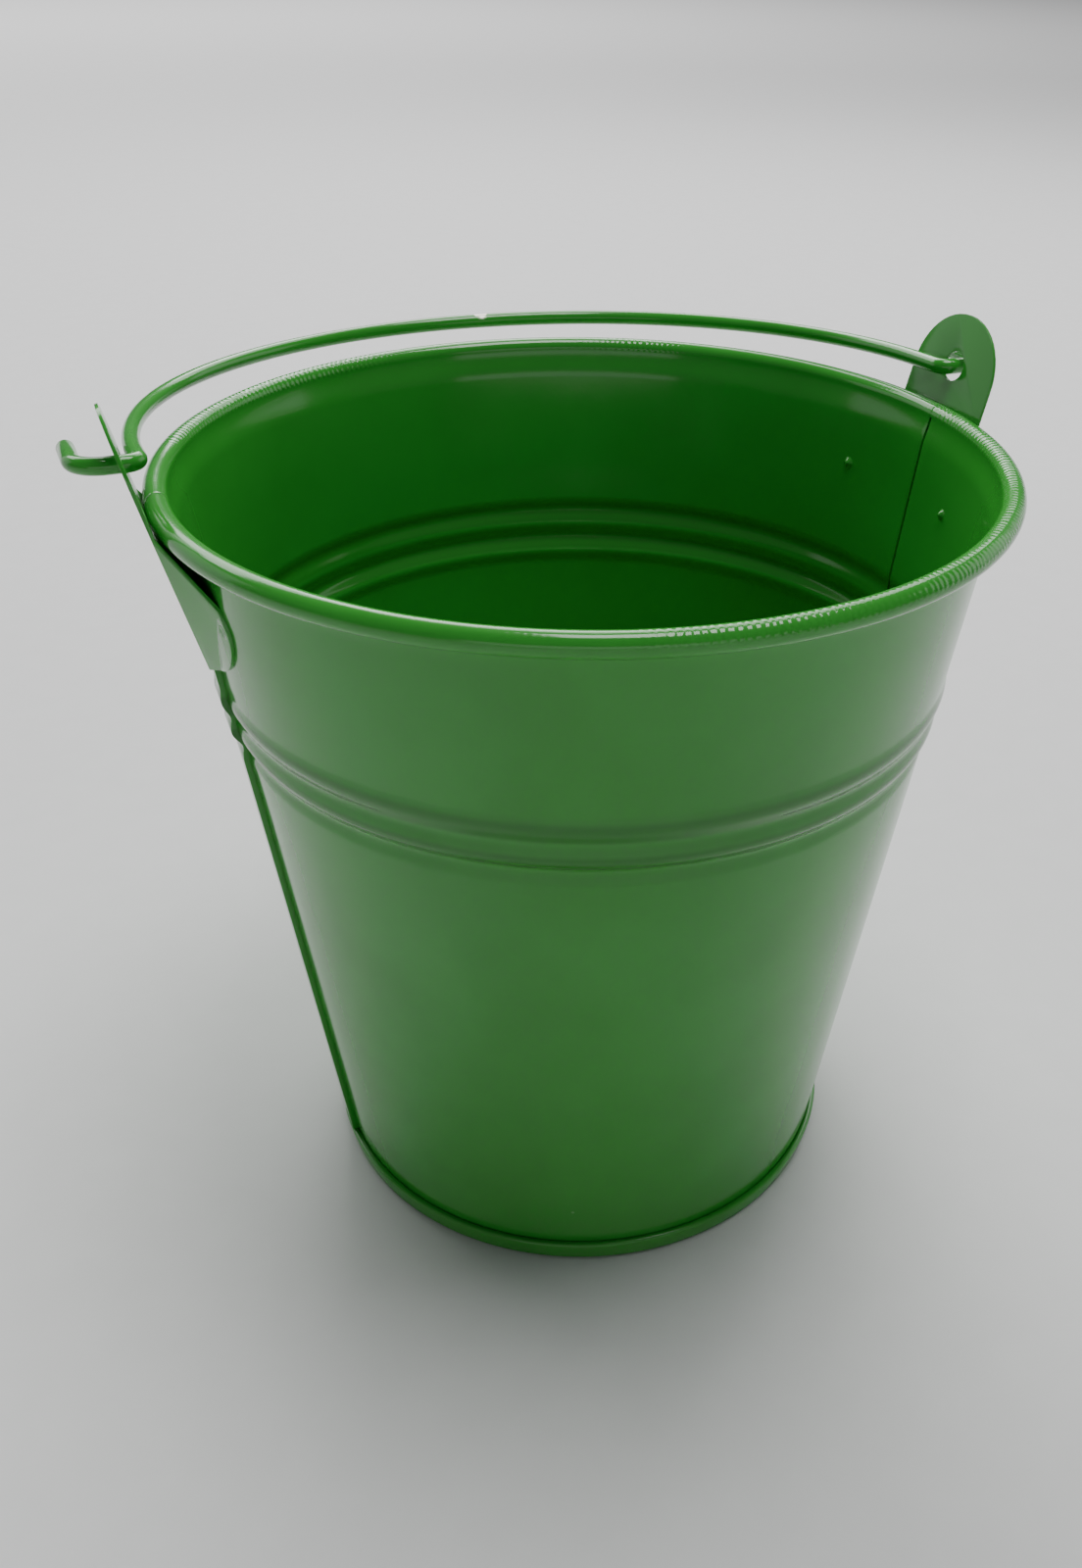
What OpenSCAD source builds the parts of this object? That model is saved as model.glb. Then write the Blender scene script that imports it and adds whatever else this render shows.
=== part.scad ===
// Small florist bucket: two-piece sheet steel pail with a swinging wire bail.
// Millimetres, +Z up, origin on the bucket's axis at floor level.
// The right ear stands at +X and the left one near -X; the bail lies back over +Y.

/* [Body] */
// outside diameter over the rolled rim
rim_d = 132; // [110:0.5:170]
// height to the top of the rolled rim
rim_h = 125.6; // [105:0.5:165]
// outside diameter of the wall carried down to the floor
foot_d = 86; // [70:0.5:110]
// thickness of the wall and base sheet
sheet_t = 0.35; // [0.25:0.05:0.5]
// outside diameter of the rim curl
curl_d = 3.6; // [2.8:0.1:4.6]
// angle the curl stops short of straight down, past the bottom
curl_end = 48; // [30:1:55]
// outward flare of the wall just below the curl
neck_flare = 0.5; // [0.2:0.1:0.9]
// height of the flared neck
neck_h = 5; // [3:0.5:8]

/* [Beads] */
// height of the top of the bead band, as a part of the rim height
bead_top = 0.764; // [0.7:0.002:0.79]
// height of one half wave of the band
bead_step = 2.6; // [2:0.1:3.2]
// outward step of the wall above the band
upper_step = 0.4; // [0.2:0.05:0.6]
// upper crest, from the lower wall's line
crest_1 = 0.8; // [0.5:0.05:1]
// shallow groove between the crests
groove_1 = 0.1; // [0:0.05:0.3]
// lower crest
crest_2 = 0.6; // [0.4:0.05:0.9]
// deep groove under the lower crest
groove_2 = 0.45; // [0.2:0.05:0.6]

/* [Side seams] */
// width of the grooved lock seam
seam_w = 5.2; // [4:0.1:7]
// slack in the folds
seam_gap = 0.05; // [0.03:0.01:0.1]
// angle the left seam and ear stand off the right ones' diameter
left_skew = 3; // [0:0.5:5]

/* [Base] */
// height of the double seam round the foot
base_seam_h = 3.6; // [3:0.1:5]
// height of the recessed base panel
base_recess = 3; // [2:0.1:4]
// rounding of the foot's outer edge
foot_round = 0.6; // [0.3:0.05:0.9]

/* [Ears] */
// thickness of the ear sheet
ear_t = 0.5; // [0.4:0.05:0.7]
// height of the bail holes above the rim
hole_rise = 5.6; // [4.6:0.1:8]
// diameter of the bail hole
hole_d = 4.9; // [4:0.1:6]
// radius of the ear's round top
ear_top_r = 10.3; // [8:0.1:12]
// how far the centre of the round top is below the hole
ear_top_drop = 1.6; // [0:0.1:3]
// half width of the ear where it passes the curl
ear_waist = 10.4; // [9.5:0.1:13]
// half width of the ear's round foot
ear_low_r = 16; // [15.6:0.1:17]
// height of the ear's round foot up to its widest
ear_low_h = 10.2; // [9:0.1:12]
// height of the ear above the bead band at its lowest
ear_low_rise = 3.8; // [2:0.1:5]
// half width of the flat face at the ear's lowest point
fold_low = 3.7; // [3.5:0.1:5]
// half width of the flat face at the rim
fold_high = 10.6; // [10:0.1:13]
// angle the wings are folded back
fold_angle = 32; // [28:1:45]
// gap left where the ear passes the curl and the seam
ear_gap = 0.05; // [0.03:0.01:0.1]
// distance of the spot welds from the ear's middle
weld_off = 14; // [13.2:0.1:14.3]
// height of the spot welds above the ear's lowest point
weld_rise = 11; // [9:0.1:12]
// diameter of a spot weld
weld_d = 1.8; // [1.4:0.1:2.4]
// height of the nub a spot weld leaves on the inside
weld_nub = 0.45; // [0.2:0.05:0.7]

/* [Bail] */
// diameter of the bail wire
wire_d = 2.6; // [1.8:0.1:3]
// gap between the arms and the ears at the holes
arm_gap = 0.9; // [0.8:0.05:3]
// distance from the hinge to where the bow begins
arm_len = 4.8; // [4:0.1:8]
// bend radius of the wire inside the ears
inner_bend = 1.8; // [1.6:0.1:1.9]
// bend radius of the hooks outside the ears
hook_bend = 4.4; // [3:0.1:5]
// length of wire along the hinge outside an ear
hook_reach = 1.6; // [1.5:0.1:5]
// length of the hook's straight end
hook_len = 7; // [5:0.1:12]
// slope of the bail below level in its stored pose
bail_drop = 3.2; // [0:0.1:8]

/* [Hidden] */
$fn = 96;

rim_r = rim_d / 2;
foot_r = foot_d / 2;
curl_r = curl_d / 2;
curl_z = rim_h - curl_r;
curl_c = rim_r - curl_r;
neck_r = rim_r - curl_d + sheet_t;
slope = (neck_r - neck_flare - upper_step - foot_r) / curl_z;
neck_z = curl_z - neck_h;
band_z = bead_top * rim_h;
band_off = [upper_step, crest_1, groove_1, crest_2, -groove_2, 0];
steps = 5;
seam_low = base_seam_h + seam_gap;
seam_high = curl_z - curl_r - 0.6;
big = 3 * rim_d;
ear_steps = 24;
ear_wide = 3 * ear_low_r;
ear_deep = 2 * ear_low_r;
eps = 0.01;

ear_low_z = band_z + ear_low_rise;
ear_x = rim_r + ear_gap;
ear_low_x = upper_r(ear_low_z) + 3 * sheet_t + ear_gap;
lean = atan((ear_x - ear_low_x) / (curl_z - ear_low_z));
hole_z = rim_h + hole_rise;
hole_s = (hole_z - curl_z) / cos(lean);
top_s = hole_s - ear_top_drop;
low_s = (ear_low_z - curl_z) / cos(lean) + ear_low_h;
fold_s = (ear_low_z - curl_z) / cos(lean);
fold_tilt = atan((fold_high - fold_low) / -fold_s);
weld_z = ear_low_z + weld_rise;
weld_turn = asin(weld_off / upper_r(weld_z));

wire_r = wire_d / 2;
ear_in_x = ear_x + (hole_z - curl_z) * tan(lean);
hole_r = ear_in_x * cos(left_skew / 2);
arm_x = round(1000 * (hole_r - arm_gap - wire_r)) / 1000;
bend_x = arm_x + inner_bend;
hook_x = round(1000 * (hole_r + ear_t / cos(lean) + hook_reach)) / 1000;
left_at = 180 - left_skew;

// radius of the wall's outer face above the bead band
function upper_r(z) = foot_r + upper_step + slope * z;

// ease from 0 to 1
function ease(f) = (1 - cos(180 * f)) / 2;

// offset of the wall from the lower cone, by height
function band(z) = let (p = (band_z - z) / bead_step, i = floor(p))
    p <= 0 ? upper_step
    : p >= 5 ? 0
    : band_off[i] + (band_off[i + 1] - band_off[i]) * ease(p - i);

function neck(z) = z <= neck_z ? 0 : neck_flare * ease(min(1, (z - neck_z) / neck_h));

// outer face of the wall
function wall_r(z) = foot_r + slope * z + band(z) + neck(z);

// heights at which the wall's outline changes between two levels
function stations(z0, z1) = concat(
    [z0],
    [for (i = [5 * steps : -1 : 0]) let (z = band_z - bead_step * i / steps)
        if (z > z0 + eps && z < z1 - eps) z],
    [for (i = [0 : steps]) let (z = neck_z + neck_h * i / steps)
        if (z > z0 + eps && z < z1 - eps) z],
    [z1]);

// strip of sheet lying on the wall's outline, from layer k0 to layer k1
module strip(k0, k1, z0, z1) {
    zs = stations(z0, z1);
    n = len(zs) - 1;
    polygon(concat(
        [for (z = zs) [wall_r(z) + k1 * sheet_t, z]],
        [for (i = [n : -1 : 0]) [wall_r(zs[i]) + k0 * sheet_t, zs[i]]]));
}

// rolled edge, open only where its end meets the wall
module curl() {
    translate([curl_c, curl_z])
        difference() {
            circle(r = curl_r);
            circle(r = curl_r - sheet_t);
            polygon([
                [0, 0],
                [-2 * curl_r, 0],
                [-2 * curl_r, -2 * curl_r],
                [-2 * curl_r * tan(curl_end), -2 * curl_r]]);
        }
}

// flange of the wall turned up inside the foot's double seam
module body_hook() {
    polygon([
        [wall_r(sheet_t) - sheet_t, sheet_t],
        [wall_r(sheet_t) + 2 * sheet_t, sheet_t],
        [wall_r(2 * sheet_t) + 2 * sheet_t, 2 * sheet_t],
        [wall_r(2 * sheet_t) - sheet_t, 2 * sheet_t]]);
    strip(1, 2, sheet_t, base_seam_h - sheet_t - seam_gap);
}

// one layer of the lock seam at an angle round the wall, between two side faces
module seam_layer(at, k0, k1, y0, y1) {
    intersection() {
        rotate([0, 0, 90])
            rotate_extrude()
                strip(k0, k1, seam_low, seam_high);
        rotate([0, 0, at])
            translate([0, y0, 0])
                cube([big, y1 - y0, big]);
    }
}

// half of the wall; its edge at lap_at laps outside, its edge at end_at lies
// flush inside; it runs clockwise from the first to the second
module half_wall(lap_at, end_at) {
    half = seam_w / 2;
    near = half + seam_gap;
    difference() {
        intersection() {
            rotate([0, 0, lap_at < 90 ? 90 : -90])
                rotate_extrude() {
                    strip(-1, 0, sheet_t, curl_z);
                    curl();
                    body_hook();
                }
            union() {
                rotate([0, 0, lap_at])
                    translate([0, -big, 0])
                        cube([big, big - near, big]);
                rotate([0, 0, end_at - 180])
                    translate([-big, -big, 0])
                        cube([big + foot_r / 2, big + half, big]);
            }
        }
        rotate([0, 0, lap_at])
            weld_bore(-1);
        rotate([0, 0, end_at])
            weld_bore(1);
    }
    // lapping edge: step out over the other half, then fold back under
    seam_layer(lap_at, -1, 3, -near - sheet_t, -near);
    seam_layer(lap_at, 2, 3, -near - eps, half);
    seam_layer(lap_at, 0, 3, half - sheet_t, half);
    seam_layer(lap_at, 0, 1, -half + sheet_t + seam_gap, half - eps);
    // flush edge: fold out and back over itself
    seam_layer(end_at, -1, 2, -half, -half + sheet_t);
    seam_layer(end_at, 1, 2, -half + eps, half - sheet_t - seam_gap);
}

module wall_front() {
    color("forestgreen")
        half_wall(0, left_at);
}

module wall_rear() {
    color("forestgreen")
        half_wall(left_at, 360);
}

// recessed disc folded round the wall's flange
module base_disc() {
    foot_out = wall_r(0) + 3 * sheet_t;
    color("darkgreen")
        rotate_extrude() {
            polygon([
                [0, base_recess - sheet_t],
                [wall_r(base_recess) - sheet_t - eps, base_recess - sheet_t],
                [wall_r(base_recess) - sheet_t, base_recess],
                [0, base_recess]]);
            strip(-2, -1, 0, base_recess);
            difference() {
                polygon([
                    [wall_r(0) - 2 * sheet_t, 0],
                    [foot_out, 0],
                    [wall_r(sheet_t) + 3 * sheet_t, sheet_t],
                    [wall_r(sheet_t) - 2 * sheet_t, sheet_t]]);
                foot_corner(foot_out);
            }
            difference() {
                strip(2, 3, 0, base_seam_h);
                foot_corner(foot_out);
            }
            strip(0, 3, base_seam_h - sheet_t, base_seam_h);
            strip(0, 1, 2 * sheet_t + seam_gap, base_seam_h);
        }
}

// what is cut off the foot's outer edge
module foot_corner(r) {
    translate([r - foot_round, 0])
        difference() {
            square(foot_round);
            translate([0, foot_round])
                circle(r = foot_round);
        }
}

// block behind the ear's flat face, in the ear's own frame
module face_block(off) {
    translate([-ear_deep, -ear_wide, -ear_wide])
        cube([ear_deep + off, 2 * ear_wide, 2 * ear_wide]);
}

// block behind one folded wing
module wing_block(side, off) {
    translate([ear_t, side * fold_low, fold_s])
        rotate([-side * fold_tilt, 0, 0])
            rotate([0, 0, side * fold_angle])
                face_block(off);
}

// flat face and folded wings, filled in behind, off = 0 for the outer face
module ear_folds(off) {
    in_ear_frame()
        intersection() {
            face_block(ear_t + off);
            wing_block(1, off);
            wing_block(-1, off);
        }
}

// sector of the wall's cone at +X, between two distances from its face
module ear_cone(off0, off1) {
    z0 = ear_low_z - ear_t;
    z1 = curl_z - curl_d;
    rotate([0, 0, -25])
        rotate_extrude(angle = 50)
            polygon([
                [upper_r(z0) + off0, z0],
                [upper_r(z0) + off1, z0],
                [upper_r(z1) + off1, z1],
                [upper_r(z1) + off0, z1]]);
}

// moves to the ear's own frame: +X out of its face, +Z up along it
module in_ear_frame() {
    translate([ear_x, 0, curl_z])
        rotate([0, lean, 0])
            children();
}

module ear_prism() {
    in_ear_frame()
        rotate([90, 0, 90])
            linear_extrude(height = ear_deep, center = true)
                ear_outline();
}

// outline of the ear, y across and z up its face: a round top, a waist at
// the curl and a wider round foot
module ear_outline() {
    polygon(concat(
        [for (i = [0 : ear_steps]) let (a = 180 * i / ear_steps)
            [ear_top_r * cos(a), top_s + ear_top_r * sin(a)]],
        [[-ear_waist, 0]],
        [for (i = [0 : ear_steps]) let (a = 180 + 180 * i / ear_steps)
            [ear_low_r * cos(a), low_s + ear_low_h * sin(a)]],
        [[ear_waist, 0]]));
}

// place something on the wall's outer face at a spot weld, +Z outward
module at_weld(side) {
    rotate([0, 0, side * weld_turn])
        translate([upper_r(weld_z), 0, weld_z])
            rotate([0, 90 + atan(slope), 0])
                children();
}

// bore that a spot weld fills
module weld_bore(side) {
    at_weld(side)
        cylinder(d = weld_d, h = 4 * ear_t, center = true);
}

// spot weld through wall and ear, with a low nub inside
module weld(side) {
    cap_r = (weld_d * weld_d / 4 + weld_nub * weld_nub) / (2 * weld_nub);
    at_weld(side) {
        translate([0, 0, -sheet_t])
            cylinder(d = weld_d, h = sheet_t + ear_t);
        intersection() {
            translate([0, 0, cap_r - weld_nub - sheet_t])
                sphere(r = cap_r);
            translate([0, 0, -sheet_t - weld_nub])
                cylinder(d = weld_d, h = weld_nub + eps);
        }
    }
}

module ear() {
    difference() {
        union() {
            difference() {
                intersection() {
                    ear_prism();
                    ear_folds(0);
                }
                ear_folds(-ear_t);
                ear_cone(-ear_deep, 0);
            }
            difference() {
                intersection() {
                    ear_prism();
                    ear_cone(0, ear_t);
                }
                ear_folds(-ear_t);
            }
        }
        in_ear_frame()
            translate([0, 0, hole_s])
                rotate([0, 90, 0])
                    cylinder(d = hole_d, h = 4 * ear_t, center = true);
        weld_bore(1);
        weld_bore(-1);
    }
}

module ear_right() {
    color("forestgreen")
        ear();
}

module ear_left() {
    color("forestgreen")
        rotate([0, 0, left_at])
            ear();
}

// the four spot welds, two to each ear
module ear_welds() {
    color("darkgreen")
        for (turn = [0, left_at], side = [-1, 1])
            rotate([0, 0, turn])
                weld(side);
}

// arc of wire in the plane z = 0, from angle a0 over the turn given
module wire_arc(r, a0, turn) {
    rotate([0, 0, a0])
        rotate_extrude(angle = turn)
            translate([r, 0])
                circle(r = wire_r);
}

// half of the bail, x outward along the hinge and y along the arm
module half_bail() {
    translate([0, arm_len, 0])
        wire_arc(arm_x, 0, 90);
    translate([arm_x, arm_len, 0])
        rotate([90, 0, 0])
            cylinder(r = wire_r, h = arm_len - inner_bend);
    translate([bend_x, inner_bend, 0])
        wire_arc(inner_bend, 180, 90);
    translate([bend_x, 0, 0])
        rotate([0, 90, 0])
            cylinder(r = wire_r, h = hook_x - bend_x);
    translate([hook_x, hook_bend, 0]) {
        wire_arc(hook_bend, -90, 90);
        translate([hook_bend, 0, 0])
            rotate([-90, 0, 0])
                cylinder(r = wire_r, h = hook_len);
        translate([hook_bend, hook_len, 0])
            sphere(r = wire_r);
    }
}

module bail() {
    color("forestgreen")
        translate([0, ear_in_x * sin(left_skew / 2), hole_z])
            rotate([-bail_drop, 0, -left_skew / 2]) {
                half_bail();
                mirror([1, 0, 0])
                    half_bail();
            }
}

wall_front();
wall_rear();
base_disc();
ear_right();
ear_left();
ear_welds();
bail();
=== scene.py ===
"""Small florist bucket in green enamel: painted sheet walls, ears and wire bail.

Metres, +Z up, the bucket's axis at the origin, its right ear at +X and its left near -X.
"""

import math

import bpy
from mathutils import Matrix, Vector


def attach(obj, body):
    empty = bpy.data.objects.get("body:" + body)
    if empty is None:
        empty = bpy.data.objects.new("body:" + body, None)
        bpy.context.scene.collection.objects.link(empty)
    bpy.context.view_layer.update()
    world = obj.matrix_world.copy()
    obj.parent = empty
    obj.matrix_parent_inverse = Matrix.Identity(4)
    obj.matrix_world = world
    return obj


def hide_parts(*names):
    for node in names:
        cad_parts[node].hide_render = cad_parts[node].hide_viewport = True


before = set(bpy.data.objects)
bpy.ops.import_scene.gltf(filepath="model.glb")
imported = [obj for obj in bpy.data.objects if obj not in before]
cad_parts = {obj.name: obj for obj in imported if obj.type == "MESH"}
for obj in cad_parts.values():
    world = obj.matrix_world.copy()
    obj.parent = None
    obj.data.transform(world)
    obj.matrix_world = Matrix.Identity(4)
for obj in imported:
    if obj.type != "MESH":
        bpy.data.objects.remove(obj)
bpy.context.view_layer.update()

# sizes are in millimetres unless they say otherwise, and angles in degrees
MM = 0.001
SHEET = 0.35
RIM_H = 125.6
RIM_R = 66.0
FOOT_R = 43.0
CURL_R = 1.8
CURL_TURN = 318
CURL_Z = RIM_H - CURL_R
CURL_C = RIM_R - CURL_R
NECK_FLARE = 0.5
NECK_H = 5.0
UPPER_STEP = 0.4
SLOPE = (RIM_R - 2 * CURL_R + SHEET - NECK_FLARE - UPPER_STEP - FOOT_R) / CURL_Z
BAND_Z = 0.764 * RIM_H
BAND_STEP = 2.6
BAND = [UPPER_STEP, 0.8, 0.1, 0.6, -0.45, 0.0]
SEAM_HALF = 2.6
SEAM_GAP = 0.05
SEAM_SLOT = 0.5
SEAM_LOW = 3.65
SEAM_HIGH = CURL_Z - CURL_R - 0.6
FOOT_SEAM = 3.6
PANEL_Z = 3.0
HOLE_Z = 131.2
HINGE_Y = 1.7803
WIRE_R = 1.3
BAIL_TILT = 3.2
# how far round the left seam and ear stand from the diameter of the right ones
SKEW = 3.0
WELD_OFF = 14.0
WELD_Z = BAND_Z + 3.8 + 11.0
FOLD_ROUND = 1.6
# an ear's crease is an edge longer than this that turns by an angle between these two
FOLD_SHORTEST = 2.0
FOLD_TURN = (14, 50)
# two points closer than this are one
SAME = 0.002
# middle of the bare spot on the wire, in metres
NICK = (0.0100, 0.0717, 0.1286)


# ---------------------------------------------------------------- shape of the sheet
def eased(f):
    return (1 - math.cos(math.pi * f)) / 2


def band(z):
    """How far the wall stands out from its lower cone at height z, in the beads."""
    p = (BAND_Z - z) / BAND_STEP
    if p <= 0:
        return UPPER_STEP
    if p >= 5:
        return 0.0
    i = int(p)
    return BAND[i] + (BAND[i + 1] - BAND[i]) * eased(p - i)


def wall_r(z):
    """Radius of the wall's outer face at height z."""
    flare = eased(min(1, max(0, (z - (CURL_Z - NECK_H)) / NECK_H)))
    return FOOT_R + SLOPE * z + band(z) + NECK_FLARE * flare


def heights():
    """Heights at which the wall's outline is drawn, close together in the beads."""
    found = [SHEET, SEAM_LOW, 20.0, 40.0, 60.0, 75.0]
    found += [BAND_Z - BAND_STEP * (5 - i / 8) for i in range(41)]
    found += [104.0, 112.0]
    found += [CURL_Z - NECK_H * (1 - i / 8) for i in range(9)]
    return sorted(found + [SEAM_HIGH])


def wall_outline():
    """Inner face of the wall, carried up and over the curl."""
    face = [(wall_r(z) - SHEET, z) for z in heights()]
    turn = [math.radians(180 - CURL_TURN * i / 36) for i in range(1, 37)]
    return face + [(CURL_C + CURL_R * math.cos(a), CURL_Z + CURL_R * math.sin(a)) for a in turn]


# ---------------------------------------------------------------- working by hand
def settle():
    """Leave edit mode and let go of everything."""
    if bpy.context.object and bpy.context.object.mode != "OBJECT":
        bpy.ops.object.mode_set(mode="OBJECT")
    bpy.ops.object.select_all(action="DESELECT")


def take(obj):
    """Make this the only piece in hand."""
    settle()
    obj.select_set(True)
    bpy.context.view_layer.objects.active = obj


def named(name):
    """Name the piece that was just added and put its place into its mesh."""
    obj = bpy.context.object
    obj.name = obj.data.name = name
    bpy.ops.object.transform_apply(location=True, rotation=True, scale=True)
    return obj


def edit(obj, kind="VERT"):
    """Open the piece in edit mode with all of it selected."""
    take(obj)
    bpy.ops.object.mode_set(mode="EDIT")
    bpy.ops.mesh.select_mode(type=kind)
    bpy.ops.mesh.select_all(action="SELECT")


def pick(obj, test, kind="VERT"):
    """Select the vertices, edges or faces whose every corner passes a test, in edit mode."""
    edit(obj, kind)
    bpy.ops.mesh.select_all(action="DESELECT")
    bpy.ops.object.mode_set(mode="OBJECT")
    mesh = obj.data
    good = [test(v.co / MM) for v in mesh.vertices]
    group = {"VERT": mesh.vertices, "EDGE": mesh.edges, "FACE": mesh.polygons}[kind]
    for part in group:
        corners = [part.index] if kind == "VERT" else part.vertices
        part.select = all(good[i] for i in corners)
    bpy.ops.object.mode_set(mode="EDIT")


def pull(x, y, z):
    """Extrude what is selected by this many millimetres."""
    bpy.ops.mesh.extrude_region_move(
        TRANSFORM_OT_translate={"value": (x * MM, y * MM, z * MM)}
    )


def trace(name, points):
    """Draw an outline in the plane y = 0 by pulling one vertex from point to point."""
    settle()
    bpy.ops.mesh.primitive_plane_add(size=MM, location=(points[0][0] * MM, 0, points[0][1] * MM))
    obj = named(name)
    edit(obj)
    bpy.ops.mesh.merge(type="CENTER")
    for a, b in zip(points, points[1:]):
        pull(b[0] - a[0], 0, b[1] - a[1])
    bpy.ops.mesh.select_all(action="SELECT")
    return obj


def turn_out(degrees, steps):
    """Spin the outline round the bucket's axis, clockwise seen from above."""
    bpy.ops.mesh.spin(
        steps=steps, angle=math.radians(degrees), center=(0, 0, 0), axis=(0, 0, 1)
    )


def finish_mesh(obj, angle=35):
    """Shade smooth except at corners sharper than this angle."""
    take(obj)
    bpy.ops.object.shade_smooth_by_angle(angle=math.radians(angle))
    return obj


def modify(obj, kind, **settings):
    """Add a modifier and apply it."""
    take(obj)
    added = obj.modifiers.new(kind.title(), kind)
    for key, value in settings.items():
        setattr(added, key, value)
    bpy.ops.object.modifier_apply(modifier=added.name)


def face_in(obj):
    """Turn an open sheet's faces towards the bucket's axis, judged by the wall below its beads.

    No one face can be asked, because the curl's own faces look both ways.
    """
    settle()
    below = [face for face in obj.data.polygons if face.center.z < (BAND_Z - 5 * BAND_STEP) * MM]
    outward = sum(f.area * (f.normal.x * f.center.x + f.normal.y * f.center.y) for f in below)
    if outward > 0:
        edit(obj)
        bpy.ops.mesh.flip_normals()
        settle()


# ---------------------------------------------------------------- wall halves
def wall_part(name, lap_at, span):
    """Part of the wall from its lapping edge clockwise to its flush edge, with its curl.

    It is drawn with the lapping edge at +X, its flush edge span degrees round, and is
    turned to its place at the end.
    """
    near = SEAM_HALF + SEAM_GAP + SEAM_SLOT
    obj = trace(name, wall_outline())
    # spun a little past both edges, and cut back to them below
    start, swept, stride = 2.1, span - 0.7, 2.24
    steps = round(swept / stride)
    bpy.ops.transform.rotate(
        value=math.radians(start), orient_axis="Z", center_override=(0, 0, 0)
    )
    turn_out(swept * (steps + 1) / steps, steps + 1)
    far = math.radians(180 - span)
    along = Vector((-math.cos(far), -math.sin(far), 0))
    across = Vector((-math.sin(far), math.cos(far), 0))
    pick(obj, lambda p: p.x > 0 and p.y > -20, "FACE")
    bpy.ops.mesh.bisect(plane_co=(0, -near * MM, 0), plane_no=(0, 1, 0), clear_outer=True)
    pick(obj, lambda p: p.dot(along) > 0 and p.dot(across) > -20, "FACE")
    bpy.ops.mesh.bisect(
        plane_co=across * (SEAM_HALF * MM), plane_no=across, clear_outer=True
    )
    face_in(obj)
    low, high = SEAM_LOW - 0.01, SEAM_HIGH + 0.01
    # the curl's own edge comes right up to the other part's
    pick(obj, lambda p: p.x > 0 and abs(p.y + near) < 0.01 and p.z > CURL_Z - 0.1, "EDGE")
    pull(0, SEAM_SLOT - 0.01, 0)
    # lapping edge: out over the other part, across it, and folded back under
    pick(obj, lambda p: p.x > 0 and abs(p.y + near) < 0.01 and low < p.z < high, "EDGE")
    pull(3 * SHEET, 0, 0)
    pull(0, near + SEAM_HALF - SHEET, 0)
    pull(-SHEET, 0, 0)
    pull(0, -2 * SEAM_HALF + 2 * SHEET + SEAM_GAP, 0)
    # flush edge: folded out and back over itself
    pick(
        obj,
        lambda p: p.dot(along) > 0 and abs(p.dot(across) - SEAM_HALF) < 0.01 and low < p.z < high,
        "EDGE",
    )
    pull(*(along * (2.9 * SHEET)))
    pull(*(across * (-2 * SEAM_HALF + SHEET + SEAM_GAP)))
    modify(obj, "SOLIDIFY", thickness=SHEET * MM, offset=-1, use_even_offset=True)
    modify(
        obj, "BEVEL", width=0.13 * MM, segments=3, limit_method="ANGLE",
        angle_limit=math.radians(50),
    )
    take(obj)
    obj.rotation_euler = (0, 0, math.radians(lap_at))
    bpy.ops.object.transform_apply(rotation=True)
    return finish_mesh(obj)


# ---------------------------------------------------------------- foot
def foot():
    """Recessed disc with the rolled seam that holds it on the wall."""
    out, roll = 3 * SHEET, 0.5
    low_in, top = wall_r(0) - 2 * SHEET, FOOT_SEAM

    def round_off(r, z, size, start, end, count=6):
        turns = [math.radians(start + (end - start) * i / count) for i in range(count + 1)]
        return [(r + size * math.cos(a), z + size * math.sin(a)) for a in turns]

    section = [(0, PANEL_Z), (20, PANEL_Z), (36, PANEL_Z), (wall_r(PANEL_Z) - SHEET, PANEL_Z)]
    section += [(wall_r(SHEET) - SHEET, SHEET), (wall_r(SHEET), SHEET)]
    section += [(wall_r(2) + 0.01, 2.0), (wall_r(3.2) + 0.01, 3.2)]
    section += round_off(wall_r(top) + 0.3, top - 0.3, 0.3, 170, 90, 4)
    section += round_off(wall_r(top) + out - roll, top - roll, roll, 75, 0)
    section += round_off(wall_r(0) + out - 0.6, 0.6, 0.6, 0, -90)
    section += round_off(low_in + 0.35, 0.35, 0.35, -90, -180)
    section += round_off(low_in - 0.05, 2.15, 0.5, 0, 90)
    section += [(r, PANEL_Z - SHEET) for r in (36, 20, 0)]
    obj = trace("foot_seam_disc", section)
    turn_out(360, 144)
    bpy.ops.mesh.select_all(action="SELECT")
    bpy.ops.mesh.remove_doubles(threshold=SAME * MM)
    bpy.ops.mesh.normals_make_consistent(inside=False)
    return finish_mesh(obj)


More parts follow.
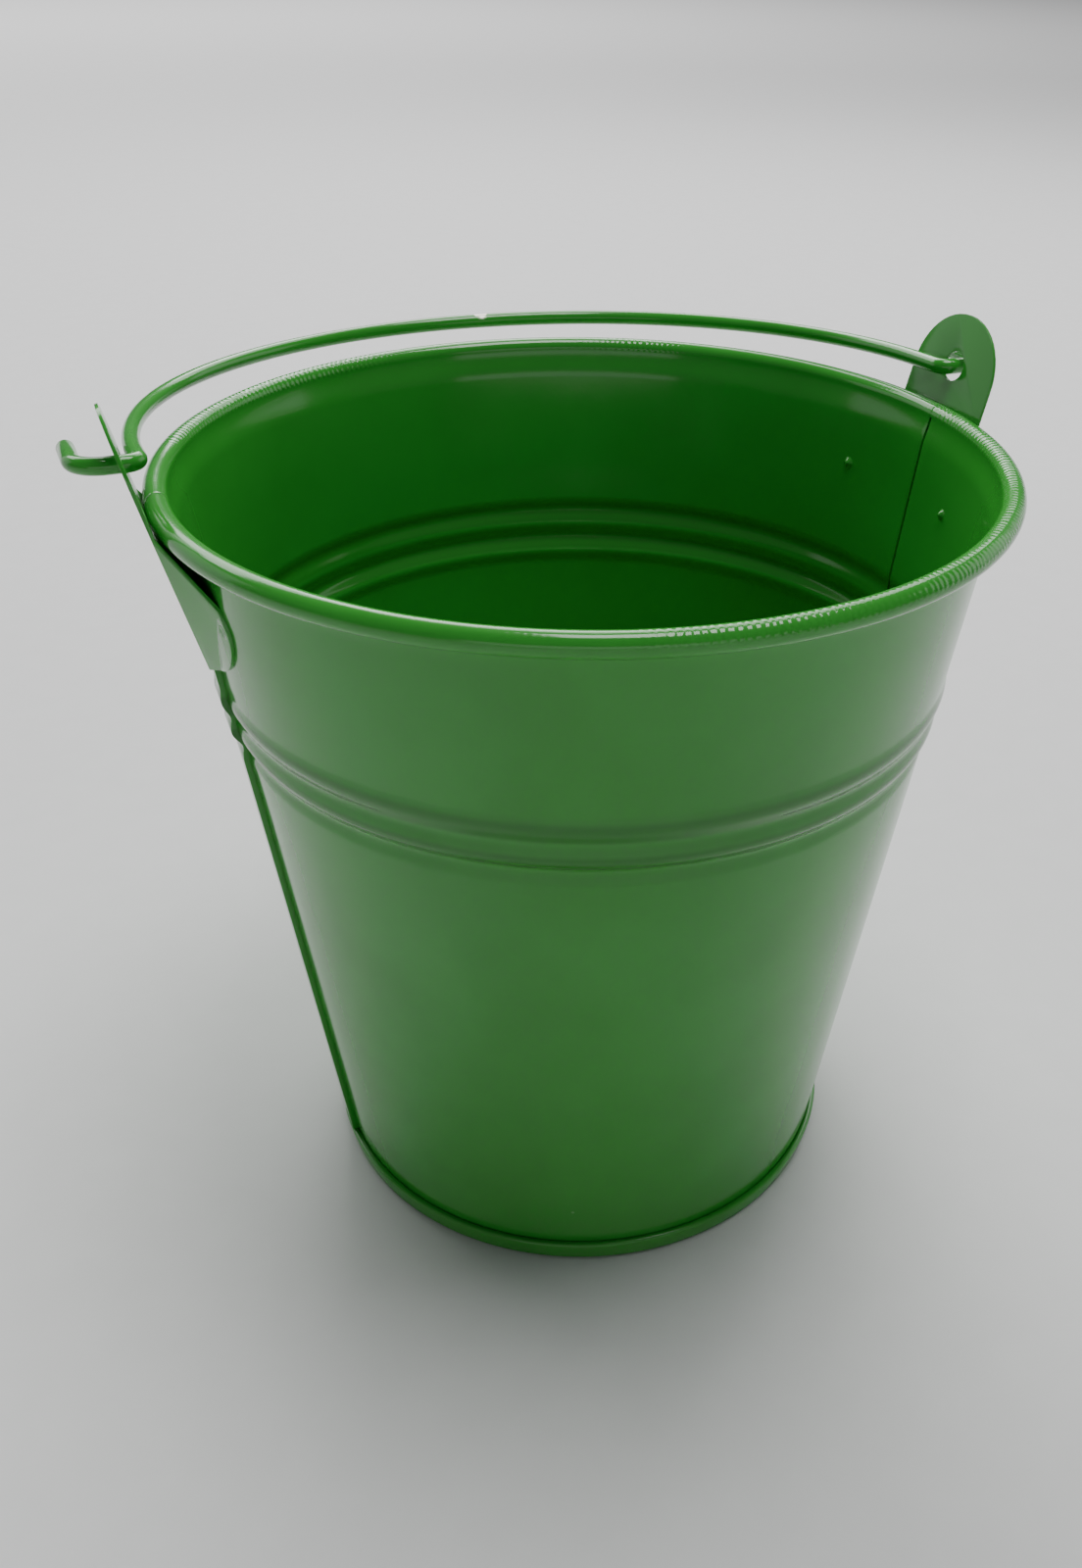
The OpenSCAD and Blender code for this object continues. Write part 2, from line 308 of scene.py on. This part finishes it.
# ---------------------------------------------------------------- bail
def bail():
    """Wire bail: half of it swept from the middle of the bow to the hook's end, then mirrored."""
    arm_x, arm_len, bend, hook_bend = 65.784, 4.8, 1.8, 4.4
    hook_x, hook_len = 70.102, 7.0
    settle()
    bpy.ops.mesh.primitive_circle_add(
        vertices=24, radius=WIRE_R * MM, location=(0, (arm_len + arm_x) * MM, 0),
        rotation=(0, math.pi / 2, 0),
    )
    obj = named("bail_wire")
    edit(obj)

    def bend_wire(x, y, degrees, steps):
        bpy.ops.mesh.spin(
            steps=steps, angle=math.radians(degrees), center=(x * MM, y * MM, 0), axis=(0, 0, 1)
        )

    bend_wire(0, arm_len, 90, 48)
    pull(0, bend - arm_len, 0)
    bend_wire(arm_x + bend, bend, -90, 10)
    pull(hook_x - arm_x - bend, 0, 0)
    bend_wire(hook_x, hook_bend, -90, 12)
    pull(0, hook_len - 0.2, 0)
    # blunt rounded end, as a wire is left by its cutter
    for size, forward in ((0.93, 0.45), (0.78, 0.35), (0.7, 0.22), (0.5, 0.1)):
        pull(0, forward, 0)
        centre = ((hook_x + hook_bend) * MM, 0, 0)
        bpy.ops.transform.resize(value=(size, 1, size), center_override=centre)
    bpy.ops.mesh.edge_face_add()
    settle()
    modify(
        obj, "MIRROR", use_axis=(True, False, False), use_mirror_merge=True,
        merge_threshold=0.01 * MM,
    )
    edit(obj)
    bpy.ops.mesh.remove_doubles(threshold=SAME * MM)
    bpy.ops.mesh.normals_make_consistent(inside=False)
    settle()
    obj.rotation_euler = (-math.radians(BAIL_TILT), 0, -math.radians(SKEW / 2))
    obj.location = (0, HINGE_Y * MM, HOLE_Z * MM)
    take(obj)
    bpy.ops.object.transform_apply(location=True, rotation=True, scale=True)
    return finish_mesh(obj, 50)


# ---------------------------------------------------------------- spot welds
def weld():
    """Slug of a spot weld: a pimple inside the wall and a shallow dimple on the ear."""
    settle()
    stations = [
        (-1.0, 0.12), (-0.93, 0.3), (-0.8, 0.5), (-0.6, 0.68), (-0.45, 0.85), (-0.35, 1.05),
        (-0.3, 0.88), (0.44, 0.88), (0.49, 0.84), (0.5, 0.74), (0.46, 0.6), (0.4, 0.35),
    ]
    bpy.ops.mesh.primitive_circle_add(
        vertices=20, radius=stations[0][1] * MM, fill_type="NGON",
        location=(0, 0, stations[0][0] * MM),
    )
    obj = named("spot_weld")
    edit(obj)
    for (w0, r0), (w1, r1) in zip(stations, stations[1:]):
        pull(0, 0, w1 - w0)
        bpy.ops.transform.resize(value=(r1 / r0, r1 / r0, 1), center_override=(0, 0, w1 * MM))
    bpy.ops.mesh.select_all(action="SELECT")
    bpy.ops.mesh.normals_make_consistent(inside=False)
    return finish_mesh(obj, 50)


def four_welds():
    """Copies of one weld, at each side of both ears."""
    out = FOOT_R + UPPER_STEP + SLOPE * WELD_Z
    off = math.degrees(math.asin(WELD_OFF / out))
    first = weld()
    made = []
    for at in (off, -off, 180 - SKEW + off, 180 - SKEW - off):
        take(first)
        bpy.ops.object.duplicate()
        one = bpy.context.object
        a = math.radians(at)
        one.rotation_euler = (0, math.pi / 2 + math.atan(SLOPE), a)
        one.location = (out * math.cos(a) * MM, out * math.sin(a) * MM, WELD_Z * MM)
        made.append(one)
    take(first)
    bpy.ops.object.delete()
    for one in made:
        one.select_set(True)
    bpy.context.view_layer.objects.active = made[0]
    bpy.ops.object.join()
    return named("ear_spot_welds")


# ---------------------------------------------------------------- ears
def pick_folds(obj):
    """Select the long creases of a pressed sheet, in edit mode."""
    edit(obj, "EDGE")
    bpy.ops.mesh.select_all(action="DESELECT")
    settle()
    mesh = obj.data
    sides = {}
    for face in mesh.polygons:
        for key in face.edge_keys:
            sides.setdefault(key, []).append(face.normal.copy())
    for edge in mesh.edges:
        beside = sides[edge.key]
        a, b = (mesh.vertices[i].co for i in edge.vertices)
        turn = math.degrees(beside[0].angle(beside[1])) if len(beside) == 2 else 0
        long = (a - b).length > FOLD_SHORTEST * MM
        edge.select = FOLD_TURN[0] < turn < FOLD_TURN[1] and long
    take(obj)
    bpy.ops.object.mode_set(mode="EDIT")


def ear(name, node):
    """Pressed ear: its sheet with the folds drawn round and the edges softened by the paint."""
    settle()
    obj = bpy.data.objects.new(name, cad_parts[node].data.copy())
    bpy.context.scene.collection.objects.link(obj)
    obj.data.name = name
    edit(obj)
    bpy.ops.mesh.remove_doubles(threshold=0.003 * MM)
    bpy.ops.mesh.dissolve_limited(angle_limit=math.radians(0.6))
    settle()
    pick_folds(obj)
    bpy.ops.mesh.bevel(offset=FOLD_ROUND * MM, segments=6, clamp_overlap=True)
    settle()
    modify(
        obj, "BEVEL", width=0.1 * MM, segments=3, limit_method="ANGLE",
        angle_limit=math.radians(55),
    )
    return finish_mesh(obj, 40)


# ---------------------------------------------------------------- finishes
class Value:
    """A number that comes out of a node, so that finishes can be written as sums."""

    def __init__(self, finish, socket):
        self.finish, self.socket = finish, socket

    def sum(self, operation, first, second):
        return self.finish.node("Math", {"operation": operation}, [first, second])

    def __add__(self, other):
        return self.sum("ADD", self, other)

    def __radd__(self, other):
        return self.sum("ADD", other, self)

    def __sub__(self, other):
        return self.sum("SUBTRACT", self, other)

    def __rsub__(self, other):
        return self.sum("SUBTRACT", other, self)

    def __mul__(self, other):
        return self.sum("MULTIPLY", self, other)

    def __rmul__(self, other):
        return self.sum("MULTIPLY", other, self)

    def __truediv__(self, other):
        return self.sum("DIVIDE", self, other)

    def __lt__(self, other):
        return self.sum("LESS_THAN", self, other)

    def __gt__(self, other):
        return self.sum("GREATER_THAN", self, other)


class Finish:
    """A paint or metal being mixed from nodes."""

    def __init__(self, name):
        self.material = bpy.data.materials.new(name)
        self.material.use_nodes = True
        self.tree = self.material.node_tree
        self.tree.nodes.clear()

    def node(self, kind, settings=None, sockets=None, out=0):
        """Add a node: its type, its settings, then what goes into its sockets."""
        added = self.tree.nodes.new("ShaderNode" + kind)
        for key, value in (settings or {}).items():
            if key == "stops":
                for element, (place, shade) in zip(added.color_ramp.elements, value):
                    element.position, element.color = place, (shade, shade, shade, 1)
            else:
                setattr(added, key, value)
        named_inputs = sockets.items() if isinstance(sockets, dict) else enumerate(sockets or [])
        for key, value in named_inputs:
            if isinstance(value, Value):
                self.tree.links.new(value.socket, added.inputs[key])
            elif value is not None:
                added.inputs[key].default_value = value
        return Value(self, added.outputs[out]) if added.outputs else None

    def place(self):
        return self.node("TexCoord", out="Object")

    def noise(self, scale, detail):
        return self.node("TexNoise", {}, {"Vector": self.place(), "Scale": scale, "Detail": detail})

    def ramp(self, value, low, high):
        """0 below low, 1 above high, eased between."""
        return self.node(
            "MapRange", {"interpolation_type": "SMOOTHSTEP"},
            {"Value": value, "From Min": low, "From Max": high},
        )

    def blend(self, factor, first, second):
        return self.node("Mix", {"data_type": "RGBA"}, {0: factor, 6: first, 7: second}, out=2)

    def done(self, colour, roughness, normal=None, **fixed):
        """The paint's shader; what is the same all over is set on it by name."""
        inputs = {"Base Color": colour, "Roughness": roughness, "Normal": normal}
        inputs.update({key.replace("_", " "): value for key, value in fixed.items()})
        shader = self.node("BsdfPrincipled", {}, inputs)
        self.node("OutputMaterial", {}, [shader])
        return self.material


GREEN = (0.036, 0.290, 0.031, 1)
DEEP = (0.031, 0.258, 0.025, 1)
PALE = (0.16, 0.42, 0.13, 1)
STEEL = (0.55, 0.52, 0.46, 1)
# green of the painted shade under the beads
PAINTED_SHADE_GREEN = (0.016, 0.150, 0.010, 1)


def enamel(name, ripple=0.0, nick=None):
    """Glossy stove enamel: faint mottling, orange peel and a few specks of dust in the coat.

    ripple is the depth of the fine ticks along the top of the rim, and goes with a painted shade,
    a deeper green under the beads; nick is the middle of a spot where the coat is off the steel.
    """
    f = Finish(name)
    place = f.place()
    apart = f.node("SeparateXYZ", {}, [place])
    x, y, z = (Value(f, apart.socket.node.outputs[i]) for i in range(3))
    around = f.node("Math", {"operation": "ARCTAN2"}, [y, x])
    mottle = f.noise(45, 3)
    colour = f.blend(f.ramp(mottle, 0.3, 0.75), GREEN, DEEP)
    cell = f.node("TexVoronoi", {"feature": "F1"}, {"Vector": place, "Scale": 105, "Randomness": 1})
    shade = Value(f, cell.socket.node.outputs["Color"])
    chosen = f.node("SeparateColor", {}, [shade]) > 0.955
    speck = chosen * (cell < 0.028)
    colour = f.blend(speck * 0.6, colour, PALE)
    height = f.noise(750, 2) * 0.35 + f.noise(85, 1) * 2.0 + speck * 5.0
    roughness = 0.10 + f.noise(70, 3) * 0.08
    metal = 0.0
    if ripple:
        # painted shade: a deeper green under each bead, standing in for the shading that sets the
        # beads off in flat light
        down = (BAND_Z * MM - z) / (BAND_STEP * MM)
        upper = f.ramp(down, 0.35, 0.8) * f.ramp(down, 2.05, 1.7)
        lower = f.ramp(down, 2.6, 2.95) * f.ramp(down, 3.95, 3.65)
        colour = f.blend((upper + lower) * 0.7, colour, PAINTED_SHADE_GREEN)
        chatter = f.node("Math", {"operation": "SINE"}, [around * 380 + f.noise(300, 2) * 9])
        on_rim = f.ramp(z, CURL_Z * MM, (CURL_Z + 0.5) * MM)
        height = height + chatter * on_rim * f.ramp(f.noise(35, 1), 0.42, 0.62) * ripple
    if nick:
        gap = f.node("VectorMath", {"operation": "DISTANCE"}, [place, nick], out="Value")
        bare = f.ramp(gap + f.noise(1400, 2) * 0.0009, 0.0021, 0.0015)
        colour = f.blend(bare, colour, STEEL)
        metal, roughness = bare * 0.7, roughness + bare * 0.2
        height = height - bare * 6.0
    normal = f.node("Bump", {}, {"Strength": 0.3, "Distance": 0.00004, "Height": height})
    return f.done(colour, roughness, normal, Metallic=metal, IOR=1.5, Specular_IOR_Level=0.5)


def plaster(name):
    """Pale matt board that the bucket stands on."""
    f = Finish(name)
    grain = f.noise(120, 4)
    colour = f.blend(grain, (0.66, 0.66, 0.66, 1), (0.71, 0.71, 0.71, 1))
    return f.done(colour, 0.75 + grain * 0.1)


def wear(obj, finish):
    """Give the piece its one finish."""
    obj.data.materials.clear()
    obj.data.materials.append(finish)


# ---------------------------------------------------------------- putting it together
front = wall_part("wall_front_sheet", 0, 180 + SKEW)
rear = wall_part("wall_rear_sheet", 180 - SKEW, 180 - SKEW)
base = foot()
wire = bail()
welds = four_welds()
right_ear = ear("right_ear_sheet", "ear_right")
left_ear = ear("left_ear_sheet", "ear_left")

green = enamel("green_enamel")
# the walls' enamel: fine ticks on the rim and a painted shade under the beads
wall_green_with_painted_shade = enamel("green_enamel_rim_with_painted_bead_shade", ripple=2.2)
wire_green = enamel("green_enamel_wire", nick=NICK)
coats = {"wall_front": wall_green_with_painted_shade, "wall_rear": wall_green_with_painted_shade, "bail": wire_green}
for piece, body, slot, node in (
    (front, "bucket", "coated_sheet", "wall_front"),
    (rear, "bucket", "coated_sheet", "wall_rear"),
    (base, "bucket", "coated_sheet", "base_disc"),
    (wire, "handle", "coated_wire", "bail"),
    (welds, "bucket", "coated_sheet", "ear_welds"),
    (right_ear, "bucket", "coated_sheet", "ear_right"),
    (left_ear, "bucket", "coated_sheet", "ear_left"),
):
    wear(piece, coats.get(node, green))
    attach(piece, body)
    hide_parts(node)

# ---------------------------------------------------------------- studio
settle()
bpy.ops.mesh.primitive_circle_add(vertices=96, radius=4.0, fill_type="NGON")
floor = named("floor_board")
wear(floor, plaster("pale_board"))

world = bpy.data.worlds.new("studio_room")
bpy.context.scene.world = world
world.use_nodes = True
background = world.node_tree.nodes["Background"]
background.inputs["Color"].default_value = (0.94, 0.97, 1.0, 1)
# the room gives little light itself, but shows pale behind the floor
seen = world.node_tree.nodes.new("ShaderNodeLightPath")
level = world.node_tree.nodes.new("ShaderNodeMapRange")
level.inputs["To Min"].default_value, level.inputs["To Max"].default_value = 0.11, 0.62
world.node_tree.links.new(seen.outputs["Is Camera Ray"], level.inputs["Value"])
world.node_tree.links.new(level.outputs["Result"], background.inputs["Strength"])


def softbox(name, place, aim, width, depth, power):
    """Rectangular soft light at a place, facing a point."""
    light = bpy.data.lights.new(name, "AREA")
    light.shape, light.size, light.size_y = "RECTANGLE", width, depth
    light.energy = power
    obj = bpy.data.objects.new(name, light)
    bpy.context.scene.collection.objects.link(obj)
    obj.location = place
    obj.rotation_euler = (Vector(aim) - Vector(place)).to_track_quat("-Z", "Y").to_euler()


# a key from behind on the right, a softer light overhead, a long low window in front that
# draws the beads and the foot, and one for the far floor
softbox("key_behind", (0.50, 0.80, 0.95), (0, 0, 0.06), 1.0, 0.8, 10)
softbox("overhead", (0.15, -0.05, 1.15), (0, 0, 0.05), 0.5, 0.5, 8)
softbox("front_window", (-0.40, -1.25, 0.20), (0, 0, 0.08), 1.8, 0.36, 2)
softbox("right_side", (1.0, 0.05, 0.35), (0, 0, 0.07), 0.8, 0.6, 1.5)
softbox("left_side", (-0.75, 0.75, 0.35), (0, 0, 0.07), 0.8, 0.6, 1.2)
softbox("far_floor", (0, 2.6, 1.8), (0, 2.4, 0), 3.0, 1.8, 90)

camera = bpy.data.cameras.new("studio_camera")
camera.lens, camera.shift_x, camera.shift_y = 34.71, -0.0372, -0.0705
camera.clip_start = 0.01
holder = bpy.data.objects.new("studio_camera", camera)
bpy.context.scene.collection.objects.link(holder)
holder.location = (-0.09236, -0.20173, 0.20220)
holder.rotation_euler = [math.radians(a) for a in (62.489, -0.838, -24.828)]
bpy.context.scene.camera = holder
